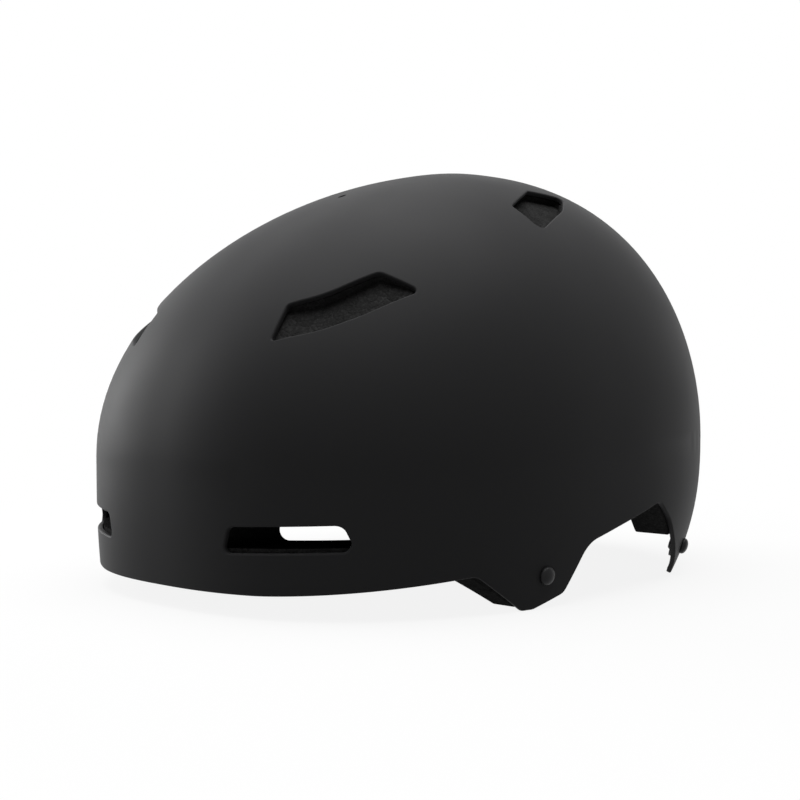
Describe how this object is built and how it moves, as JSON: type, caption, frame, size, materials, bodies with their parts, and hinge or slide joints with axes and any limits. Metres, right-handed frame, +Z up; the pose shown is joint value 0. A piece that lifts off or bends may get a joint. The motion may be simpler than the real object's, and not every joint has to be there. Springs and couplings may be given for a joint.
{
  "type": "helmet",
  "caption": "Matte black hard-shell sports helmet with slotted vents, riveted strap tabs, a foam liner, comfort pads and a dial-driven fit cradle on racks.",
  "frame": {"origin": "on the surface the helmet stands on, under the middle of its length and width", "axes": "+Z up, the wearer looks along -Y, the wearer's left is +X"},
  "size_m": [0.218, 0.2766, 0.1757],
  "materials": {
    "shell": "matte",
    "foam": "matte",
    "plastic": "satin",
    "metal": "satin",
    "pad": "matte",
    "hook": "matte"
  },
  "bodies": {
    "helmet": {"outer_shell": "shell", "eps_liner": "foam", "liner_pin": "plastic", "strap_rivet_front_left": "metal", "rivet_washer_front_left": "metal", "strap_rivet_rear_left": "metal", "rivet_washer_rear_left": "metal", "side_pad_left": "pad", "side_patch_left": "hook", "temple_pin_left": "plastic", "temple_socket_left": "plastic", "strap_rivet_front_right": "metal", "rivet_washer_front_right": "metal", "strap_rivet_rear_right": "metal", "rivet_washer_rear_right": "metal", "side_pad_right": "pad", "side_patch_right": "hook", "temple_pin_right": "plastic", "temple_socket_right": "plastic", "brow_pad": "pad", "brow_patch": "hook", "crown_pad": "pad", "crown_patch": "hook", "rear_pad": "pad", "rear_patch": "hook"},
    "yoke": {"fit_yoke": "plastic", "tray_cover": "plastic", "nape_pad": "pad"},
    "dial": {"fit_dial": "plastic", "dial_pinion": "plastic", "dial_screw": "metal"},
    "wing_left": {"nape_wing_left": "plastic", "wing_pad_left": "pad"},
    "wing_right": {"nape_wing_right": "plastic", "wing_pad_right": "pad"}
  },
  "joints": [
    {"name": "yoke_tilt", "type": "hinge", "parent": "helmet", "child": "yoke", "pos_m": [0, -0.0072, 0.0399], "axis": [1, 0, 0], "range_deg": [-4, 4]},
    {"name": "dial_turn", "type": "hinge", "parent": "yoke", "child": "dial", "pos_m": [0, 0.095, 0.0259], "axis": [0, -1, 0], "range_deg": [0, 116]},
    {"name": "wing_left_slide", "type": "slide", "parent": "yoke", "child": "wing_left", "axis": [-1, 0, 0], "range_m": [0, 0.0115]},
    {"name": "wing_right_slide", "type": "slide", "parent": "yoke", "child": "wing_right", "axis": [1, 0, 0], "range_m": [0, 0.0121]}
  ],
  "couplings": [
    {"joint": "dial_turn", "follows": "wing_left_slide", "rad_per_m": 166.67},
    {"joint": "wing_right_slide", "follows": "wing_left_slide", "ratio": 1}
  ]
}
